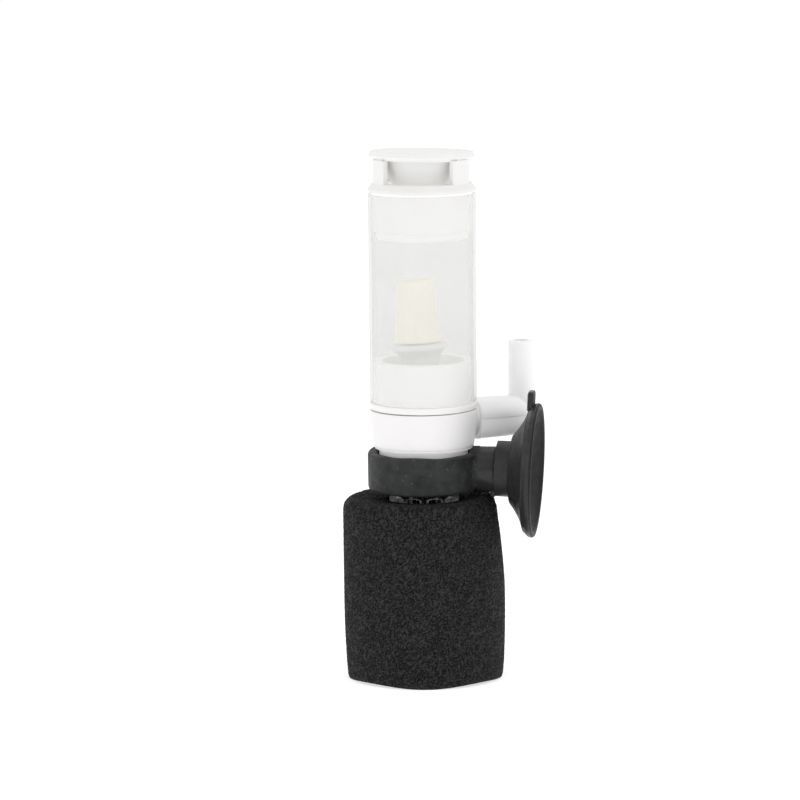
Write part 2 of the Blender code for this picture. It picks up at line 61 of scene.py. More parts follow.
CAMERA_AZIMUTH = 8.0
CAMERA_DISTANCE = 0.66
CAMERA_HEIGHT = 0.1278
CAMERA_PITCH = 6.566
CAMERA_YAW = 0.377
CAMERA_ROLL = -0.49
CAMERA_LENS = 161.37
LIT_POINT = (0.0, 0.0, 0.05)
TENT_NEAR_CAMERA = 0.35
TENT_BEHIND = 1.02
FLOOR_GREY = 0.6
FLOOR_GLOW = 0.64
FLOOR_REACH = 3.0
WHITE = (1.0, 1.0, 1.0, 1.0)


def link(obj):
    """Puts a new object into the scene."""
    bpy.context.scene.collection.objects.link(obj)
    return obj


def make_camera():
    """A long lens at the photo's angle, in front of the object and slightly above it."""
    data = bpy.data.cameras.new("camera")
    data.lens = CAMERA_LENS
    data.sensor_width = 36.0
    data.clip_end = 10.0
    camera = link(bpy.data.objects.new("camera", data))
    azimuth = math.radians(CAMERA_AZIMUTH)
    place = Vector(
        (CAMERA_DISTANCE * math.sin(azimuth), -CAMERA_DISTANCE * math.cos(azimuth), CAMERA_HEIGHT)
    )
    turn = (
        Matrix.Rotation(math.radians(CAMERA_AZIMUTH + CAMERA_YAW), 4, "Z")
        @ Matrix.Rotation(math.radians(90.0 - CAMERA_PITCH), 4, "X")
        @ Matrix.Rotation(math.radians(CAMERA_ROLL), 4, "Z")
    )
    camera.matrix_world = Matrix.Translation(place) @ turn
    bpy.context.scene.camera = camera


def soft_box(name, place, width, height, power):
    """A rectangular lamp that faces the object."""
    data = bpy.data.lights.new(name, "AREA")
    data.shape = "RECTANGLE"
    data.size = width
    data.size_y = height
    data.energy = power
    lamp = link(bpy.data.objects.new(name, data))
    lamp.location = place
    lamp.rotation_euler = (Vector(LIT_POINT) - Vector(place)).to_track_quat("-Z", "Y").to_euler()


def make_surround():
    """A white light tent: full behind the object, dimmer towards the camera's side."""
    world = bpy.data.worlds.new("surround")
    world.use_nodes = True
    tree = world.node_tree
    direction = tree.nodes.new("ShaderNodeTexCoord").outputs["Generated"]
    parts = tree.nodes.new("ShaderNodeSeparateXYZ")
    tree.links.new(direction, parts.inputs["Vector"])
    spread_y = tree.nodes.new("ShaderNodeMapRange")
    spread_y.inputs["From Min"].default_value = -1.0
    spread_y.inputs["From Max"].default_value = -0.2
    spread_y.inputs["To Min"].default_value = TENT_NEAR_CAMERA
    spread_y.inputs["To Max"].default_value = TENT_BEHIND
    tree.links.new(parts.outputs["Y"], spread_y.inputs["Value"])
    tree.links.new(spread_y.outputs["Result"], tree.nodes["Background"].inputs["Strength"])
    tree.nodes["Background"].inputs["Color"].default_value = WHITE
    bpy.context.scene.world = world


def make_stage():
    """A pale floor, a light tent and soft boxes."""
    bpy.context.scene.view_settings.view_transform = "Standard"
    make_surround()
    mesh = bpy.data.meshes.new("floor")
    corners = [(FLOOR_REACH * x, FLOOR_REACH * y, 0.0) for x, y in ((-1, -1), (1, -1), (1, 1), (-1, 1))]
    mesh.from_pydata(corners, [], [(0, 1, 2, 3)])
    floor = link(bpy.data.objects.new("floor", mesh))
    material, _, shader = new_material("floor_white")
    shader.inputs["Base Color"].default_value = (FLOOR_GREY, FLOOR_GREY, FLOOR_GREY, 1.0)
    shader.inputs["Roughness"].default_value = 0.9
    shader.inputs["Specular IOR Level"].default_value = 0.0
    shader.inputs["Emission Color"].default_value = WHITE
    shader.inputs["Emission Strength"].default_value = FLOOR_GLOW
    mesh.materials.append(material)
    soft_box("key", (-0.40, -0.74, 0.40), 0.42, 0.62, 1.15)
    soft_box("fill", (0.50, -0.56, 0.50), 0.40, 0.50, 0.95)


# ---- materials ----


def new_material(name):
    """A material, its node tree and its shader."""
    material = bpy.data.materials.new(name)
    material.use_nodes = True
    return material, material.node_tree, material.node_tree.nodes["Principled BSDF"]


def coordinates(tree):
    """Places on the piece itself, in metres."""
    return tree.nodes.new("ShaderNodeTexCoord").outputs["Object"]


def noise(tree, scale, detail=3.0, roughness=0.5, stretch=None):
    """Noise fixed to the piece; scale is features in a metre."""
    node = tree.nodes.new("ShaderNodeTexNoise")
    node.inputs["Scale"].default_value = scale
    node.inputs["Detail"].default_value = detail
    node.inputs["Roughness"].default_value = roughness
    source = coordinates(tree)
    if stretch:
        mapping = tree.nodes.new("ShaderNodeMapping")
        mapping.inputs["Scale"].default_value = stretch
        tree.links.new(source, mapping.inputs["Vector"])
        source = mapping.outputs["Vector"]
    tree.links.new(source, node.inputs["Vector"])
    return node.outputs["Fac"]


def ramp(tree, source, low, high, start=0.3, end=0.7):
    """A colour or value that goes from low to high while source goes from start to end."""
    node = tree.nodes.new("ShaderNodeMapRange")
    tree.links.new(source, node.inputs["Value"])
    node.inputs["From Min"].default_value = start
    node.inputs["From Max"].default_value = end
    if isinstance(low, tuple):
        mix = tree.nodes.new("ShaderNodeMix")
        mix.data_type = "RGBA"
        mix.inputs["A"].default_value = (*low, 1.0)
        mix.inputs["B"].default_value = (*high, 1.0)
        tree.links.new(node.outputs["Result"], mix.inputs["Factor"])
        return mix.outputs["Result"]
    node.inputs["To Min"].default_value = low
    node.inputs["To Max"].default_value = high
    return node.outputs["Result"]


def add_bump(tree, shader, height, depth, strength=1.0):
    """Relief in the shading; depth is its full travel in metres."""
    node = tree.nodes.new("ShaderNodeBump")
    node.inputs["Strength"].default_value = strength
    node.inputs["Distance"].default_value = depth
    tree.links.new(height, node.inputs["Height"])
    tree.links.new(node.outputs["Normal"], shader.inputs["Normal"])


def white_plastic(name, light, shade, rough=(0.34, 0.48), grain=0.000012, painted_glow=0.0):
    """Moulded white plastic: faint clouding, uneven gloss and a fine spark-eroded grain.

    Its emission is painted light, standing in for the light that thin translucent plastic carries inside
    it.
    """
    material, tree, shader = new_material(name)
    tree.links.new(ramp(tree, noise(tree, 220.0), shade, light), shader.inputs["Base Color"])
    tree.links.new(ramp(tree, noise(tree, 900.0, 4.0), *rough), shader.inputs["Roughness"])
    shader.inputs["Specular IOR Level"].default_value = 0.4
    # Painted light: this emission brightens the plastic though it is no lamp.
    shader.inputs["Emission Color"].default_value = (1.0, 0.99, 0.97, 1.0)
    shader.inputs["Emission Strength"].default_value = painted_glow
    add_bump(tree, shader, noise(tree, 3800.0, 2.0), grain)
    return material


def see_through(tree, shader, alpha):
    """Sets the alpha, and lets the lamps' light straight in."""
    path = tree.nodes.new("ShaderNodeLightPath")
    rest = tree.nodes.new("ShaderNodeMath")
    rest.operation = "SUBTRACT"
    rest.inputs[0].default_value = 1.0
    tree.links.new(path.outputs["Is Shadow Ray"], rest.inputs[1])
    product = tree.nodes.new("ShaderNodeMath")
    product.operation = "MULTIPLY"
    tree.links.new(alpha, product.inputs[0])
    tree.links.new(rest.outputs["Value"], product.inputs[1])
    tree.links.new(product.outputs["Value"], shader.inputs["Alpha"])


def frosted_plastic():
    """Milky translucent tube: part of the light goes straight through, less of it edge on."""
    material, tree, shader = new_material("frosted_tube_plastic")
    clouds = noise(tree, 160.0, 3.0, 0.5, (1.0, 1.0, 0.35))
    colour = ramp(tree, clouds, (0.615, 0.62, 0.615), (0.645, 0.65, 0.64))
    tree.links.new(colour, shader.inputs["Base Color"])
    edge = tree.nodes.new("ShaderNodeLayerWeight")
    edge.inputs["Blend"].default_value = 0.5
    see_through(tree, shader, ramp(tree, edge.outputs["Facing"], 0.27, 0.5, 0.5, 1.0))
    tree.links.new(ramp(tree, noise(tree, 700.0), 0.36, 0.48), shader.inputs["Roughness"])
    shader.inputs["Specular IOR Level"].default_value = 0.35
    add_bump(tree, shader, noise(tree, 2600.0, 2.0), 0.000006)
    return material


def clear_plastic():
    """Clear polystyrene: sees through, more solid where it is seen edge on."""
    material, tree, shader = new_material("clear_strainer_plastic")
    edge = tree.nodes.new("ShaderNodeLayerWeight")
    edge.inputs["Blend"].default_value = 0.3
    see_through(tree, shader, ramp(tree, edge.outputs["Facing"], 0.03, 0.4, 0.3, 1.0))
    colour = ramp(tree, noise(tree, 500.0), (0.30, 0.31, 0.31), (0.40, 0.41, 0.41))
    tree.links.new(colour, shader.inputs["Base Color"])
    tree.links.new(ramp(tree, noise(tree, 900.0), 0.05, 0.14), shader.inputs["Roughness"])
    shader.inputs["Specular IOR Level"].default_value = 0.6
    add_bump(tree, shader, noise(tree, 600.0), 0.00003)
    return material


def clear_edge_painted_highlight():
    """The cut edges of the clear plastic, coloured whitish and more solid as a painted highlight where
    they catch light.
    """
    material, tree, shader = new_material("clear_strainer_edge_painted_highlight")
    clouds = noise(tree, 700.0)
    colour = ramp(tree, clouds, (0.78, 0.79, 0.79), (0.92, 0.92, 0.92))
    tree.links.new(colour, shader.inputs["Base Color"])
    see_through(tree, shader, ramp(tree, clouds, 0.35, 0.85))
    tree.links.new(ramp(tree, clouds, 0.12, 0.25), shader.inputs["Roughness"])
    return material


def sleeve_painted_light_plastic(name):
    """The white plastic inside the tube's ends, with an emission as painted light that stands in for the
    light the tube lets in.
    """
    return white_plastic(name, (0.88, 0.87, 0.86), (0.86, 0.85, 0.84), painted_glow=0.22)


def stone_ceramic():
    """Bonded mineral grains, cream, with darker gaps between them; an emission adds painted light."""
    material, tree, shader = new_material("stone_cream")
    cells = tree.nodes.new("ShaderNodeTexVoronoi")
    cells.inputs["Scale"].default_value = 3600.0
    tree.links.new(coordinates(tree), cells.inputs["Vector"])
    grains = ramp(tree, cells.outputs["Distance"], (0.93, 0.885, 0.80), (0.80, 0.745, 0.64), 0.35, 0.9)
    tree.links.new(grains, shader.inputs["Base Color"])
    tree.links.new(ramp(tree, noise(tree, 2600.0), 0.75, 0.95), shader.inputs["Roughness"])
    shader.inputs["Specular IOR Level"].default_value = 0.2
    # Painted light: this emission brightens the stone though it is no lamp.
    shader.inputs["Emission Color"].default_value = (1.0, 0.96, 0.88, 1.0)
    shader.inputs["Emission Strength"].default_value = 0.17
    add_bump(tree, shader, cells.outputs["Distance"], 0.00008, 0.6)
    return material


def rubber(name, dark, light, rough=(0.5, 0.68), specks=0.0, grain=0.00004):
    """Moulded charcoal rubber with a leathery skin and patchy bloom; specks is the dust's grey."""
    material, tree, shader = new_material(name)
    colour = ramp(tree, noise(tree, 420.0, 5.0, 0.6), dark, light)
    if specks:
        dust = tree.nodes.new("ShaderNodeTexVoronoi")
        dust.inputs["Scale"].default_value = 900.0
        tree.links.new(coordinates(tree), dust.inputs["Vector"])
        mix = tree.nodes.new("ShaderNodeMix")
        mix.data_type = "RGBA"
        mix.inputs["B"].default_value = (specks, specks, specks, 1.0)
        speck = ramp(tree, dust.outputs["Distance"], 0.55, 0.0, 0.05, 0.16)
        tree.links.new(speck, mix.inputs["Factor"])
        tree.links.new(colour, mix.inputs["A"])
        colour = mix.outputs["Result"]
    tree.links.new(colour, shader.inputs["Base Color"])
    tree.links.new(ramp(tree, noise(tree, 700.0, 4.0), *rough), shader.inputs["Roughness"])
    shader.inputs["Specular IOR Level"].default_value = 0.25
    add_bump(tree, shader, noise(tree, 2400.0, 5.0, 0.65), grain)
    return material


def black_foam():
    """Open-cell foam: struts in dark grey that catch a little light, and the pits between them painted
    near-black as painted shade.
    """
    material, tree, shader = new_material("black_foam")
    strut = tree.nodes.new("ShaderNodeAttribute")
    strut.attribute_name = "strut"
    fine = noise(tree, 6500.0, 2.0, 0.8)
    lit = tree.nodes.new("ShaderNodeMath")
    lit.operation = "MULTIPLY"
    tree.links.new(strut.outputs["Fac"], lit.inputs[0])
    tree.links.new(ramp(tree, fine, 0.0, 1.0, 0.40, 0.64), lit.inputs[1])
    # Painted shade: the colour falls to near-black away from the struts, in the pits and in the bore.
    colour = ramp(tree, lit.outputs["Value"], (0.003, 0.003, 0.003), (0.074, 0.073, 0.072), 0.06, 1.0)
    tree.links.new(colour, shader.inputs["Base Color"])
    tree.links.new(ramp(tree, fine, 0.55, 0.8), shader.inputs["Roughness"])
    shader.inputs["Specular IOR Level"].default_value = 0.15
    add_bump(tree, shader, fine, 0.00012)
    return material


# ---- shape helpers, in millimetres ----


def rounded(profile, steps=5):
    """Closed outline of (radius, height[, rounding]) points, with the rounded corners drawn in."""
    points = []
    count = len(profile)
    for i, corner in enumerate(profile):
        here = Vector(corner[:2])
        amount = corner[2] if len(corner) > 2 else 0.0
        if amount <= 0.0:
            points.append(here)
            continue
        back = Vector(profile[i - 1][:2]) - here
        ahead = Vector(profile[(i + 1) % count][:2]) - here
        start = here + back.normalized() * min(amount, back.length * 0.48)
        end = here + ahead.normalized() * min(amount, ahead.length * 0.48)
        for k in range(steps + 1):
            t = k / steps
            points.append(start * (1 - t) ** 2 + here * 2 * t * (1 - t) + end * t * t)
    return points


def shape_object(name, bm):
    """The finished shape as an object, with its faces turned outwards."""
    bmesh.ops.recalc_face_normals(bm, faces=bm.faces)
    mesh = bpy.data.meshes.new(name)
    bm.to_mesh(mesh)
    bm.free()
    return link(bpy.data.objects.new(name, mesh))


def turned(name, profile, sides):
    """The outline spun about Z."""
    bm = bmesh.new()
    rings = []
    for radius, height in rounded(profile):
        if radius < 1e-6:
            rings.append([bm.verts.new((0.0, 0.0, height))])
            continue
        ring = []
        for k in range(sides):
            angle = 2.0 * math.pi * k / sides
            ring.append(bm.verts.new((radius * math.cos(angle), radius * math.sin(angle), height)))
        rings.append(ring)
    for i, lower in enumerate(rings):
        upper = rings[(i + 1) % len(rings)]
        if len(lower) == 1 and len(upper) == 1:
            continue
        for k in range(sides):
            loop = [lower[k % len(lower)], lower[(k + 1) % len(lower)]]
            loop += [upper[(k + 1) % len(upper)], upper[k % len(upper)]]
            bm.faces.new(list(dict.fromkeys(loop)))
    return shape_object(name, bm)


def lofted(name, sections):
    """A closed solid through rings of points that all have the same count."""
    bm = bmesh.new()
    rings = [[bm.verts.new(point) for point in section] for section in sections]
    count = len(rings[0])
    for lower, upper in zip(rings, rings[1:]):
        for k in range(count):
            bm.faces.new((lower[k], lower[(k + 1) % count], upper[(k + 1) % count], upper[k]))
    bm.faces.new(rings[0])
    bm.faces.new(rings[-1])
    return shape_object(name, bm)


def block(name, size, centre):
    """An upright box."""
    bm = bmesh.new()
    bmesh.ops.create_cube(bm, size=1.0)
    bmesh.ops.scale(bm, vec=size, verts=bm.verts)
    bmesh.ops.translate(bm, vec=centre, verts=bm.verts)
    return shape_object(name, bm)


def points_of(obj):
    """Every vertex of a shape, as rows of x, y and z."""
    return np.array([vertex.co for vertex in obj.data.vertices])


def set_points(obj, points):
    """Moves every vertex of a shape."""
    obj.data.vertices.foreach_set("co", points.ravel())


def apply_modifiers(obj):
    """Makes what the modifiers show the shape itself."""
    depsgraph = bpy.context.evaluated_depsgraph_get()
    mesh = bpy.data.meshes.new_from_object(obj.evaluated_get(depsgraph))
    obj.modifiers.clear()
    obj.data = mesh


def combine(obj, other, operation):
    """Adds or cuts another shape, which is used up."""
    modifier = obj.modifiers.new("cut", "BOOLEAN")
    modifier.operation = operation
    modifier.solver = "EXACT"
    modifier.object = other
    bpy.context.view_layer.update()
    apply_modifiers(obj)
    bpy.data.objects.remove(other)


def moved(obj, matrix):
    """Moves the shape inside its object, whose origin stays where it is."""
    obj.data.transform(matrix)
    return obj


def remeshed(obj, voxel, smoothing):
    """Even quads all over, with the inner corners softened."""
    remesh = obj.modifiers.new("even", "REMESH")
    remesh.mode = "VOXEL"
    remesh.voxel_size = voxel
    smooth = obj.modifiers.new("soften", "SMOOTH")
    smooth.factor = 0.5
    smooth.iterations = smoothing
    bpy.context.view_layer.update()
    apply_modifiers(obj)


def along(azimuth, height=0.0):
    """Takes a shape drawn along Z to one that points outwards at that azimuth, at that height."""
    return (
        Matrix.Translation((0.0, 0.0, height))
        @ Matrix.Rotation(math.radians(azimuth), 4, "Z")
        @ Matrix.Rotation(math.radians(90.0), 4, "Y")
    )


def two_tone(obj, low, high):
    """Gives the faces between two heights the second material."""
    for face in obj.data.polygons:
        face.material_index = 1 if low < face.center.z < high else 0


def place(obj, node, body, material, slot, second=None):
    """Scales the finished shape to metres and lets it stand for its CAD node."""
    obj.data.transform(Matrix.Scale(MM, 4))
    marks = [face.material_index for face in obj.data.polygons]
    obj.data.materials.clear()
    obj.data.materials.append(material)
    if second:
        obj.data.materials.append(second)
        obj.data.polygons.foreach_set("material_index", marks)
    obj.data.polygons.foreach_set("use_smooth", [True] * len(obj.data.polygons))
    obj.data.set_sharp_from_angle(angle=math.radians(SHARP_FROM))
    obj.data.update()
    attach(obj, body)
    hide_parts(node)


def leaning(angle, axis, height, reach=0.0, depth=0.0):
    """A small turn about an axis through the point at that height, reach along X and depth along Y."""
    pivot = Vector((reach, depth, height))
    turn = Matrix.Rotation(math.radians(angle), 4, axis)
    return Matrix.Translation(pivot) @ turn @ Matrix.Translation(-pivot)


# ---- sizes, in millimetres ----

SPONGE_TOP = box_mm("filter_sponge")[1].z
TUBE_LOW, TUBE_HIGH = box_mm("bubble_tube")
SHARP_FROM = 38.0
FOAM_STEP = 0.225
FOAM_CELL = 0.40
FOAM_BORE = 6.8
FOAM_BORE_FLOOR = 5.0
FOAM_SHOULDER = 1.65
PORE_DEPTH = 0.24
SLOT_TOPS = (19.9, 34.0)
SLOTS_IN_ROW = 9
SLOT_START = 18.0
SLOT_HEIGHT = 11.5
SLOT_HALF_WIDTH = 1.4
SLOT_CORNER = 0.85
ARM_ANGLE = 40.0
ARM_AXIS = 47.8
NIPPLE_REACH = 21.8
COLLAR_TOP = 50.1
FLANGE_TOP = 51.5
CUP_AXIS = 39.0
STUB_FROM = 10.45
RING_LEAN = 3.2
GRAIN = 0.5
GRAIN_DEPTH = 0.07
# Azimuth and width of the cap's posts, in degrees.
POSTS = ((-25.0, 36.0), (103.0, 92.0), (213.0, 29.0))
# The tube is pushed on a little askew and carries the cap and deflector with it.
FIT_ANGLE = 2.2
FIT_DEPTH = -5.0
PUSH_FIT_LEAN = leaning(FIT_ANGLE, "X", 51.7, 0.0, FIT_DEPTH) @ leaning(0.3, "Y", 51.7)
DISC_LEAN = leaning(0.6, "X", 51.7, 0.0, FIT_DEPTH) @ leaning(1.1, "Y", 91.0)


# ---- pieces ----


def foam_profile():
    """The barrel's outline from the middle of its base, over its top and down into its bore."""
    profile = [(radius, 0.0) for radius in np.arange(0.0, 14.0, FOAM_STEP)]
    profile += [(14.22, 0.0), (14.32, 0.06), (14.36, 0.25)]
    for z in np.arange(0.45, SPONGE_TOP - 1.6, FOAM_STEP):
        t = z / SPONGE_TOP
        heel = 0.12 * math.exp(-z / 1.2)
        profile.append((14.5 - heel + 0.45 * 4.0 * t * (1.0 - t) - 0.12 * t * t, z))
    for k in range(7):
        a = math.radians(90.0 * k / 6)
        height = SPONGE_TOP - FOAM_SHOULDER + FOAM_SHOULDER * math.sin(a)
        profile.append((12.75 + FOAM_SHOULDER * math.cos(a), height))
    profile += [(radius, SPONGE_TOP) for radius in np.arange(12.55, 7.3, -FOAM_STEP)]
    profile += [(7.15, SPONGE_TOP - 0.05), (6.9, SPONGE_TOP - 0.2), (FOAM_BORE, SPONGE_TOP - 0.5)]
    profile += [(FOAM_BORE, z) for z in np.arange(SPONGE_TOP - 1.0, 5.2, -1.0)]
    profile += [(FOAM_BORE, FOAM_BORE_FLOOR), (4.0, FOAM_BORE_FLOOR), (0.0, FOAM_BORE_FLOOR)]
    return np.array(profile)


def around(flat, angles):
    """Rows of (radius, height) turned to every angle, as rows of x, y and z."""
    radius = flat[:, 0][:, None]
    level = flat[:, 1][:, None] + 0.0 * angles
    return np.stack([radius * np.cos(angles), radius * np.sin(angles), level], axis=-1).reshape(-1, 3)


def make_sponge():
    """A foam barrel with a blind bore: every point of its skin is pitted by foam cells."""
    profile = foam_profile()
    columns = int(2 * math.pi * 14.85 / FOAM_STEP)
    angles = np.linspace(0.0, 2.0 * math.pi, columns, endpoint=False)
    points = around(profile, angles)
    tangent = np.gradient(profile, axis=0)
    normal = np.stack([tangent[:, 1], -tangent[:, 0]], axis=-1)
    normal /= np.linalg.norm(normal, axis=1)[:, None] + 1e-9
    strut = foam_struts(points, FOAM_CELL)
    inside = (np.hypot(points[:, 0], points[:, 1]) < 7.6) & (points[:, 2] > 4.0)
    depth = PORE_DEPTH * (1.0 - strut) * np.clip(0.1 + points[:, 2] / 1.2, 0.0, 1.0)
    # The bore's skin loses its struts in the colour only, so it is painted near-black as painted shade;
    # its pitting above keeps them.
    strut = np.where(inside, 0.0, strut)
    points = points - around(normal, angles) * depth[:, None]
    points += foam_wander(points)
    faces = []
    for a in range(0, (len(profile) - 1) * columns, columns):
        b = a + columns
        for k in range(columns):
            n = (k + 1) % columns
            faces.append((a + k, a + n, b + n, b + k))
    mesh = bpy.data.meshes.new("filter_sponge_foam")
    mesh.from_pydata(points.tolist(), [], faces)
    attribute = mesh.attributes.new("strut", "FLOAT", "POINT")
    attribute.data.foreach_set("value", strut.astype(np.float32))
    obj = link(bpy.data.objects.new("filter_sponge_foam", mesh))
    bm = bmesh.new()
    bm.from_mesh(mesh)
    bmesh.ops.remove_doubles(bm, verts=bm.verts, dist=0.002)
    bmesh.ops.recalc_face_normals(bm, faces=bm.faces)
    bm.to_mesh(mesh)
    bm.free()
    place(obj, "filter_sponge", "sponge", black_foam(), "foam")


def foam_struts(points, cell):
    """1 on the struts between foam cells, falling to 0 in the middle of each cell."""
    grid = np.floor(points / cell).astype(np.int64)
    nearest = np.full(len(points), 1e9)
    second = np.full(len(points), 1e9)
    for dx in (-1, 0, 1):
        for dy in (-1, 0, 1):
            for dz in (-1, 0, 1):
                home = grid + np.array([dx, dy, dz])
                key = home[:, 0] * 73856093 ^ home[:, 1] * 19349663 ^ home[:, 2] * 83492791
                centre = (home + spread(key)) * cell
                distance = np.linalg.norm(points - centre, axis=1)
                closer = distance < nearest
                second = np.where(closer, nearest, np.minimum(second, distance))
                nearest = np.where(closer, distance, nearest)
    gap = (second - nearest) / cell
    t = np.clip(gap / 0.42, 0.0, 1.0)
    return 1.0 - t * t * (3.0 - 2.0 * t)


def spread(key):
    """Three even numbers from 0 to 1 for each whole-number key."""
    out = []
    for salt in (1274126177, 668265263, 374761393):
        value = (key ^ salt) & 0xFFFFFFFF
        value = (value ^ (value >> 15)) * 2246822519 & 0xFFFFFFFF
        value = (value ^ (value >> 13)) * 3266489917 & 0xFFFFFFFF
        value = value ^ (value >> 16)
        out.append((value & 0xFFFFFF) / 0xFFFFFF)
    return np.stack(out, axis=-1)


def foam_wander(points):
    """The slow unevenness of hand-fitted foam: a lean, dents, and a wavy top and hem."""
    t = np.clip(points[:, 2] / SPONGE_TOP, 0.0, 1.0)
    shift = np.zeros_like(points)
    angle = np.arctan2(points[:, 1], points[:, 0])
    reach = np.hypot(points[:, 0], points[:, 1])
    outer = np.clip((reach - 8.0) / 4.0, 0.0, 1.0)
    lean = -0.75 * np.clip((t - 0.45) / 0.55, 0.0, 1.0) ** 1.7 * outer
    squeeze = -0.45 * np.clip((t - 0.5) / 0.5, 0.0, 1.0) ** 1.3 * outer
    shift[:, 0] += lean + squeeze * np.clip(np.cos(angle), 0.0, 1.0) ** 2
    shift[:, 1] += 0.1 * lean
    dent = 0.10 * np.sin(2 * angle + 0.7 + 2.0 * t) * np.sin(3.1 * t + 0.4)
    dent += 0.06 * np.sin(5 * angle - 4.0 * t)
    dent *= outer * np.clip(t * 12.0, 0.0, 1.0)
    shift[:, 0] += dent * np.cos(angle)
    shift[:, 1] += dent * np.sin(angle)
    hem = 0.5 * np.sin(2.0 * angle - 0.28) ** 2 * np.clip((reach - 11.0) / 3.0, 0.0, 1.0)
    shift[:, 2] += hem * np.clip(1.0 - points[:, 2] / 5.0, 0.0, 1.0)
    near_top = np.clip((t - 0.9) / 0.1, 0.0, 1.0)
    rise = 0.5 + 0.22 * points[:, 0] / 14.3 + 0.4 * np.minimum(points[:, 1], 6.0) / 14.3
    shift[:, 2] += near_top * outer * (rise + 0.08 * np.sin(3 * angle + 1.0))
    return shift


def slot_outline(top, ease):
    """A slot's outline seen from outside, grown by ease all round."""
    half = SLOT_HALF_WIDTH + ease
    bottom = top - SLOT_HEIGHT - ease
    top += ease
    corner = SLOT_CORNER + ease
    flat = [(half, bottom, corner), (half, top, corner), (-half, top, corner), (-half, bottom, corner)]
    return [(point.x, point.y) for point in rounded(flat, 8)]


def make_strainer():
    """A clear cup with two rows of nine round-ended slots, whose outer edges are eased."""
    outer = [(0.0, 5.3), (6.5, 5.3, 0.8), (6.5, 41.0, 0.3)]
    inner = [(5.3, 41.0, 0.3), (5.3, 6.8, 0.6), (0.0, 6.8)]
    strainer = turned("intake_strainer_clear", outer + inner, 96)
    for row, top in enumerate(SLOT_TOPS):
        for i in range(SLOTS_IN_ROW):
            turn = Matrix.Rotation(math.radians(SLOT_START + 360.0 / SLOTS_IN_ROW * i), 4, "Z")
            sections = []
            for depth, ease in ((4.2, 0.0), (6.1, 0.0), (7.0, 0.5)):
                flat = slot_outline(top, ease)
                sections.append([turn @ Vector((depth, side, z)) for side, z in flat])
            combine(strainer, lofted(f"slot_{row}_{i}", sections), "DIFFERENCE")
    place(strainer, "intake_strainer", "base", clear_plastic(), "clear_plastic")
    # The slot walls and eased edges take the whitish painted highlight.
    strainer.data.materials.append(clear_edge_painted_highlight())
    for face in strainer.data.polygons:
        outward = Vector((face.center.x, face.center.y, 0.0)).normalized()
        if abs(face.normal.dot(outward)) < 0.9 and 0.0075 < face.center.z < 0.0395:
            face.material_index = 1


def radial(name, radius, start, end, azimuth, height, rounding=0.0):
    """A round bar that points outwards from the axis."""
    profile = [(0.0, start), (radius, start, rounding), (radius, end, rounding), (0.0, end)]
    return moved(turned(name, profile, 72), along(azimuth, height))


def make_base():
    """Neck, collar and spigot in one turned shell, with the hub, its spokes and the swivel pin."""
    base = turned(
        "inlet_base_body",
        [
            (8.25, 35.9, 0.25),
            (8.25, 42.55, 0.12),
            (8.05, 42.75),
            (8.05, 42.9),
            (8.95, 42.9, 0.25),
            (9.35, 43.5, 0.5),
            (9.68, 46.0, 1.0),
            (9.97, COLLAR_TOP, 0.25),
            (7.15, 50.12),
            (7.15, 54.0, 0.3),
            (6.3, 54.0, 0.25),
            (6.3, 42.9),
            (5.3, 41.3),
            (6.8, 41.3),
            (6.8, 35.9, 0.2),
        ],
        180,
    )
    hub = turned("hub", [(0.0, 44.6), (3.6, 44.6, 0.4), (3.6, 55.0, 0.4), (0.0, 55.0)], 72)
    combine(base, hub, "UNION")
    for i in (1, 2):
        turn = Matrix.Rotation(math.radians(ARM_ANGLE + 120.0 * i), 4, "Z")
        spoke = moved(block(f"spoke_{i}", (7.9, 1.6, 4.1), (4.1, 0.0, 46.95)), turn)
        combine(base, spoke, "UNION")
    boss = radial("boss", 3.92, 7.2, 10.12, ARM_ANGLE, ARM_AXIS, 0.12)
    combine(boss, block("lid", (40.0, 40.0, 40.0), (0.0, 0.0, COLLAR_TOP + 20.0)), "DIFFERENCE")
    combine(base, boss, "UNION")
    combine(base, radial("pin", 2.0, 0.5, 16.0, ARM_ANGLE, ARM_AXIS, 0.2), "UNION")
    combine(base, radial("air_way", 1.2, 0.2, 17.0, ARM_ANGLE, ARM_AXIS), "DIFFERENCE")
    chamber = turned("chamber", [(0.0, 46.6), (1.6, 46.6), (1.6, 52.0), (0.0, 52.0)], 48)
    combine(base, chamber, "DIFFERENCE")
    socket = turned("socket", [(0.0, 51.0), (2.6, 51.0), (2.6, 57.0), (0.0, 57.0)], 48)
    combine(base, socket, "DIFFERENCE")
    points = points_of(base)
    upper = np.clip((points[:, 2] - 48.4) / 1.7, 0.0, 1.0)
    outer = np.hypot(points[:, 0], points[:, 1]) > 7.5
    points[:, 2] += upper * outer * (points[:, 1] - FIT_DEPTH) * math.sin(math.radians(FIT_ANGLE))
    set_points(base, points)
    material = white_plastic("base_white", (0.86, 0.845, 0.85), (0.84, 0.825, 0.83))
    # Painted light: an emission brightens the thin band of neck under the collar, which the collar and
    # ring shade.
    lip = white_plastic("base_lip_painted_light_white", (0.88, 0.87, 0.87), (0.86, 0.85, 0.85), painted_glow=0.25)
    two_tone(base, 42.8, 43.25)
    place(base, "inlet_base", "base", material, "white_plastic", lip)


def arm_section(distance, radius):
    """The arm's section: a round upper half, and a squarer, narrower lower half below a parting line."""
    points = []
    for k in range(97):
        a = math.pi * k / 96
        up = ARM_AXIS + 0.1 + (radius - 0.2) * math.sin(a)
        points.append(Vector((distance, radius * math.cos(a), up)))
    for k in range(97):
        a = math.pi + math.pi * k / 96
        side = math.copysign(abs(math.cos(a)) ** 0.42, math.cos(a))
        up = ARM_AXIS + 0.02 - (radius - 0.02) * abs(math.sin(a)) ** 0.42
        points.append(Vector((distance, (radius - 0.2) * side, up)))
    return points


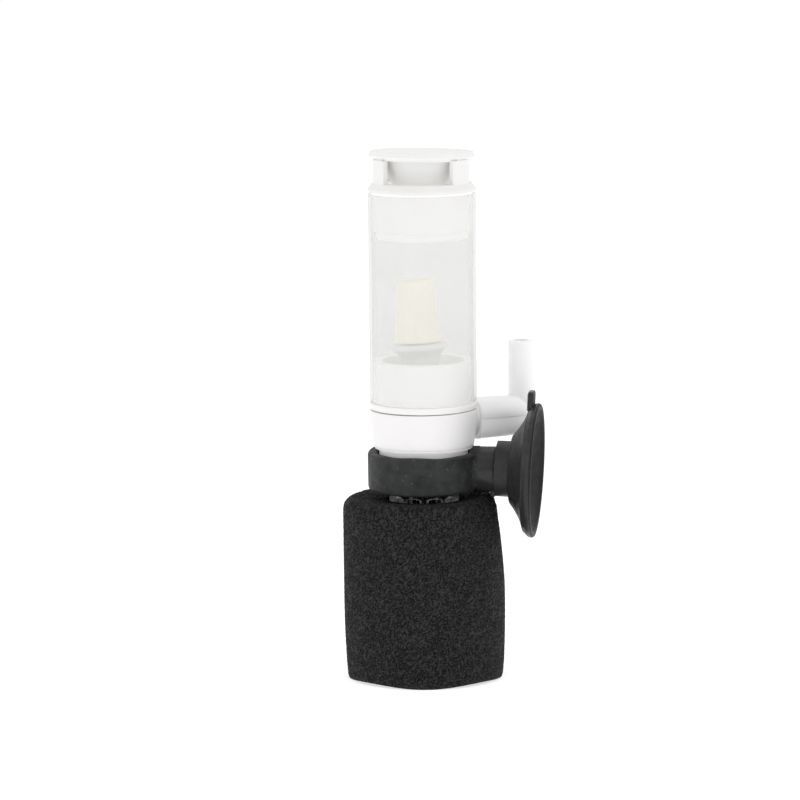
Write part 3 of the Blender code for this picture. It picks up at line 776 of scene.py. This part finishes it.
def make_elbow():
    """The swivelling arm and its upright nipple, open to each other."""
    turn = Matrix.Rotation(math.radians(ARM_ANGLE), 4, "Z")
    sizes = ((10.5, 3.75), (10.65, 3.9), (15.0, 3.85), (20.3, 3.75), (20.9, 3.45), (21.1, 3.0))
    elbow = lofted("air_inlet_elbow_body", [arm_section(d, r) for d, r in sizes])
    moved(elbow, turn)
    centre = turn @ Vector((NIPPLE_REACH, 0.0, 0.0))
    nipple = turned(
        "nipple",
        [(0.0, 44.6), (2.55, 44.6, 1.0), (2.55, 50.0), (2.5, 61.7, 0.3), (0.0, 61.7)],
        96,
    )
    combine(elbow, moved(nipple, Matrix.Translation(centre)), "UNION")
    combine(elbow, radial("socket", 2.3, 9.0, 16.3, ARM_ANGLE, ARM_AXIS), "DIFFERENCE")
    combine(elbow, radial("duct", 1.2, 15.5, NIPPLE_REACH, ARM_ANGLE, ARM_AXIS), "DIFFERENCE")
    bore = turned("bore", [(0.0, 46.4), (1.5, 46.4), (1.5, 62.5), (0.0, 62.5)], 64)
    combine(elbow, moved(bore, Matrix.Translation(centre)), "DIFFERENCE")
    # Painted light: the elbow has a faint emission all over, and a stronger one on its lower half below
    # the arm's axis, which brightens its shaded underside.
    material = white_plastic("elbow_white", (0.90, 0.89, 0.895), (0.87, 0.86, 0.865), painted_glow=0.035)
    under = white_plastic("elbow_white_under_painted_light", (0.90, 0.89, 0.895), (0.87, 0.86, 0.865), painted_glow=0.14)
    two_tone(elbow, 43.0, ARM_AXIS)
    place(elbow, "air_inlet_elbow", "elbow", material, "white_plastic", under)


def make_adaptor():
    """The flange on the collar and the sleeve that the tube is pushed over."""
    adaptor = turned(
        "tube_adaptor_sleeve",
        [
            (10.0, 50.25, 0.3),
            (10.0, FLANGE_TOP, 0.35),
            (9.28, FLANGE_TOP, 0.1),
            (9.28, 59.2, 0.35),
            (7.5, 59.2, 0.35),
            (7.5, 50.25, 0.2),
        ],
        180,
    )
    material = white_plastic("adaptor_white", (0.86, 0.85, 0.84), (0.84, 0.83, 0.82))
    # The sleeve above the flange, inside the tube, takes the sleeve plastic with its painted light.
    two_tone(adaptor, FLANGE_TOP + 0.05, 60.0)
    moved(adaptor, PUSH_FIT_LEAN)
    sleeve = sleeve_painted_light_plastic("adaptor_sleeve_painted_light_white")
    place(adaptor, "tube_adaptor", "base", material, "white_plastic", sleeve)


def make_stone_holder():
    """The stem in the hub's socket, with the plate under the stone and the spigot that holds it."""
    holder = turned(
        "stone_holder_stem",
        [
            (2.3, 51.3, 0.2),
            (2.3, 55.3),
            (3.45, 55.3, 0.25),
            (3.45, 59.4, 1.0),
            (4.0, 60.5, 0.8),
            (5.2, 61.4, 0.4),
            (5.2, 62.3, 0.3),
            (1.8, 62.3),
            (1.8, 67.0, 0.3),
            (0.9, 67.0),
            (0.9, 51.3),
        ],
        120,
    )
    moved(holder, leaning(-4.0, "Y", 53.0))
    # Painted light: a faint emission brightens the stem and plate.
    material = white_plastic("holder_painted_light_white", (0.86, 0.86, 0.84), (0.82, 0.83, 0.80), painted_glow=0.08)
    place(holder, "stone_holder", "base", material, "white_plastic")


def make_stone():
    """A tapered cylinder of bonded grains with a blind socket."""
    outline = rounded(
        [
            (0.0, 67.4),
            (2.1, 67.4),
            (2.1, 62.6),
            (4.45, 62.6, 0.4),
            (4.05, 65.6, 2.0),
            (3.5, 74.35, 0.7),
            (0.0, 74.35),
        ],
        6,
    )
    fine = []
    for a, b in zip(outline, outline[1:]):
        pieces = max(1, int((b - a).length / 0.22))
        fine += [tuple(a.lerp(b, k / pieces)) for k in range(pieces)]
    fine.append(tuple(outline[-1]))
    stone = turned("air_stone_body", fine, 140)
    points = points_of(stone)
    grain = foam_struts(points, GRAIN)
    reach = np.hypot(points[:, 0], points[:, 1])
    outside = ((reach > 2.3) | (points[:, 2] > 68.0))[:, None]
    centre = np.array([0.0, 0.0, 68.0])
    inward = (centre - points) / np.linalg.norm(centre - points, axis=1)[:, None]
    points += inward * outside * GRAIN_DEPTH * grain[:, None]
    set_points(stone, points)
    moved(stone, leaning(-2.0, "Y", 62.6))
    moved(stone, Matrix.Translation((-0.95, 0.0, 0.0)))
    place(stone, "air_stone", "stone", stone_ceramic(), "stone_ceramic")


def make_tube():
    """The frosted tube, a little wider at its top."""
    top, bottom = TUBE_HIGH.z, TUBE_LOW.z
    tube = turned(
        "bubble_tube_frosted",
        [(9.9, bottom, 0.3), (9.95, top, 0.3), (9.37, top, 0.2), (9.37, bottom, 0.2)],
        180,
    )
    moved(tube, PUSH_FIT_LEAN)
    place(tube, "bubble_tube", "tube", frosted_plastic(), "frosted_plastic")


def arc_block(name, inner, outer, azimuth, width, bottom, top, rounding=0.25):
    """An upright block whose plan is a piece of a ring with rounded corners."""
    half = math.radians(width / 2.0)
    middle = math.radians(azimuth)
    plan = []
    for k in range(9):
        plan.append((outer, -half + 2.0 * half * k / 8))
    for k in range(9):
        plan.append((inner, half - 2.0 * half * k / 8))
    flat = [(r * math.cos(a + middle), r * math.sin(a + middle)) for r, a in plan]
    corners = {0, 8, 9, 17}
    shaped = rounded([(x, y, rounding if i in corners else 0.0) for i, (x, y) in enumerate(flat)], 4)
    sections = [[Vector((p.x, p.y, z)) for p in shaped] for z in (bottom, top)]
    return lofted(name, sections)


def make_cap():
    """The plug and rim, with three posts whose pegs go into the deflector."""
    cap = turned(
        "outlet_cap_body",
        [
            (8.5, 81.75, 0.3),
            (8.5, 83.0, 0.02),
            (7.9, 83.02, 0.02),
            (7.9, 83.25, 0.02),
            (9.28, 83.3, 0.06),
            (9.28, 90.5),
            (10.0, 90.5, 0.12),
            (10.0, 91.0, 0.35),
            (9.05, 92.2, 0.3),
            (7.5, 92.2, 0.25),
            (7.5, 81.75, 0.3),
        ],
        180,
    )
    for i, (azimuth, width) in enumerate(POSTS):
        combine(cap, arc_block(f"post_{i}", 7.9, 9.15, azimuth, width, 91.6, 96.45), "UNION")
        combine(cap, arc_block(f"peg_{i}", 8.3, 8.9, azimuth, 20.0, 95.0, 96.8, 0.1), "UNION")
    # The plug below the rim, inside the tube, takes the sleeve plastic with its painted light.
    two_tone(cap, 0.0, 90.4)
    moved(cap, PUSH_FIT_LEAN)
    material = white_plastic("cap_white", (0.83, 0.825, 0.815), (0.80, 0.795, 0.785))
    place(cap, "outlet_cap", "cap", material, "white_plastic", sleeve_painted_light_plastic("cap_sleeve_painted_light_white"))


def make_deflector():
    """The disc, with a trumpet under it that turns the bubbles outwards."""
    trumpet = []
    for k in range(13):
        t = k / 12
        trumpet.append((4.9 + 3.1 * t**0.8, 91.2 + 5.1 * t))
    profile = [(0.0, 91.0), (4.7, 91.0, 0.2)] + trumpet
    profile += [(8.1, 96.3), (8.1, 97.1), (9.1, 97.1), (9.1, 96.3)]
    profile += [(9.3, 96.3, 0.08), (9.92, 97.0, 0.12), (9.4, 97.95, 0.12)]
    profile += [(8.7, 97.93, 0.1), (8.5, 97.82, 0.1), (0.0, 97.8)]
    deflector = turned("flow_deflector_disc", profile, 180)
    moved(deflector, DISC_LEAN)
    material = white_plastic("deflector_white", (0.84, 0.84, 0.83), (0.82, 0.82, 0.81))
    place(deflector, "flow_deflector", "cap", material, "white_plastic")


def make_ring():
    """The rubber band on the neck, sitting a little askew, with the stub and web that hold the cup."""
    ring = turned(
        "holder_ring_rubber",
        [(10.4, 35.5, 0.6), (10.4, 42.5, 0.6), (8.55, 42.5, 0.45), (8.55, 35.5, 0.45)],
        180,
    )
    stub = radial("stub", 4.25, 9.2, 13.6, 0.0, CUP_AXIS, 0.03)
    combine(ring, stub, "UNION")
    combine(ring, block("web", (0.95, 4.6, 2.4), (13.08, 0.0, 35.38)), "UNION")
    combine(ring, radial("pin_hole", 1.9, 10.0, 15.0, 0.0, CUP_AXIS), "DIFFERENCE")
    remeshed(ring, 0.17, 2)
    points = points_of(ring)
    a = np.arctan2(points[:, 1], points[:, 0])
    band = np.hypot(points[:, 0], points[:, 1]) < 10.6
    lift = 0.10 * np.sin(3 * a + 0.5) + 0.06 * np.sin(7 * a)
    upper = np.clip((points[:, 2] - 41.0) / 1.5, 0.0, 1.0)
    points[:, 2] += band * lift * upper
    set_points(ring, points)
    moved(ring, leaning(RING_LEAN, "X", CUP_AXIS))
    dark, light = (0.012, 0.013, 0.013), (0.034, 0.035, 0.035)
    material = rubber("ring_charcoal", dark, light, specks=0.14, grain=0.00007)
    # The stub's rubber is glossier, and its darkest tone is lifted above the ring's as a painted
    # highlight.
    dark, light = (0.022, 0.023, 0.022), (0.034, 0.035, 0.034)
    glossy = rubber("stub_charcoal_painted_highlight", dark, light, (0.2, 0.32), grain=0.00001)
    for face in ring.data.polygons:
        face.material_index = 1 if face.center.x > STUB_FROM else 0
    place(ring, "holder_ring", "holder", material, "ring_rubber", glossy)


def make_cup():
    """The suction cup: pin, boss, flared skirt, thin lip and pull tab."""
    profile = [
        (0.0, 9.2),
        (1.6, 9.2, 0.4),
        (1.6, 13.6),
        (5.15, 13.6, 0.12),
        (5.2, 16.2, 0.1),
        (6.4, 16.35, 0.4),
        (7.3, 17.15, 0.8),
        (9.6, 18.6, 1.0),
        (11.55, 19.25, 0.08),
        (11.65, 19.45, 0.05),
        (12.3, 20.1, 0.15),
        (12.5, 20.8, 0.2),
        (12.25, 21.2, 0.12),
        (11.5, 21.15, 0.2),
        (11.0, 20.5, 0.5),
        (8.6, 18.9, 1.5),
        (4.2, 17.3, 1.5),
        (0.0, 17.0),
    ]
    cup = moved(turned("suction_cup_rubber", profile, 180), along(0.0, CUP_AXIS))
    outline = rounded([(2.1, 11.2), (2.1, 14.7, 0.6), (-2.1, 14.7, 0.6), (-2.1, 11.2)])
    sections = []
    for depth, shrink in ((18.95, 0.85), (19.1, 1.0), (19.95, 1.0), (20.1, 0.85)):
        section = [(p.x * shrink, CUP_AXIS + 12.0 + (p.y - 12.0) * shrink) for p in outline]
        sections.append([Vector((depth, side, up)) for side, up in section])
    combine(cup, lofted("tab", sections), "UNION")
    moved(cup, leaning(2.6, "Y", CUP_AXIS, 13.4))
    moved(cup, Matrix.Translation((0.0, 0.0, 0.2)))
    material = rubber("cup_charcoal", (0.018, 0.019, 0.019), (0.030, 0.031, 0.030), (0.30, 0.42))
    # Painted shade: the dish inside the lip is coloured darker than the rest of the cup.
    dish = rubber("cup_dish_painted_shade_charcoal", (0.005, 0.005, 0.005), (0.010, 0.010, 0.010), (0.5, 0.65))
    for face in cup.data.polygons:
        face.material_index = 1 if face.normal.x > 0.3 and face.center.x > 16.8 else 0
    place(cup, "suction_cup", "cup", material, "cup_rubber", dish)


make_camera()
make_stage()
make_sponge()
make_strainer()
make_base()
make_elbow()
make_adaptor()
make_stone_holder()
make_stone()
make_tube()
make_cap()
make_deflector()
make_ring()
make_cup()
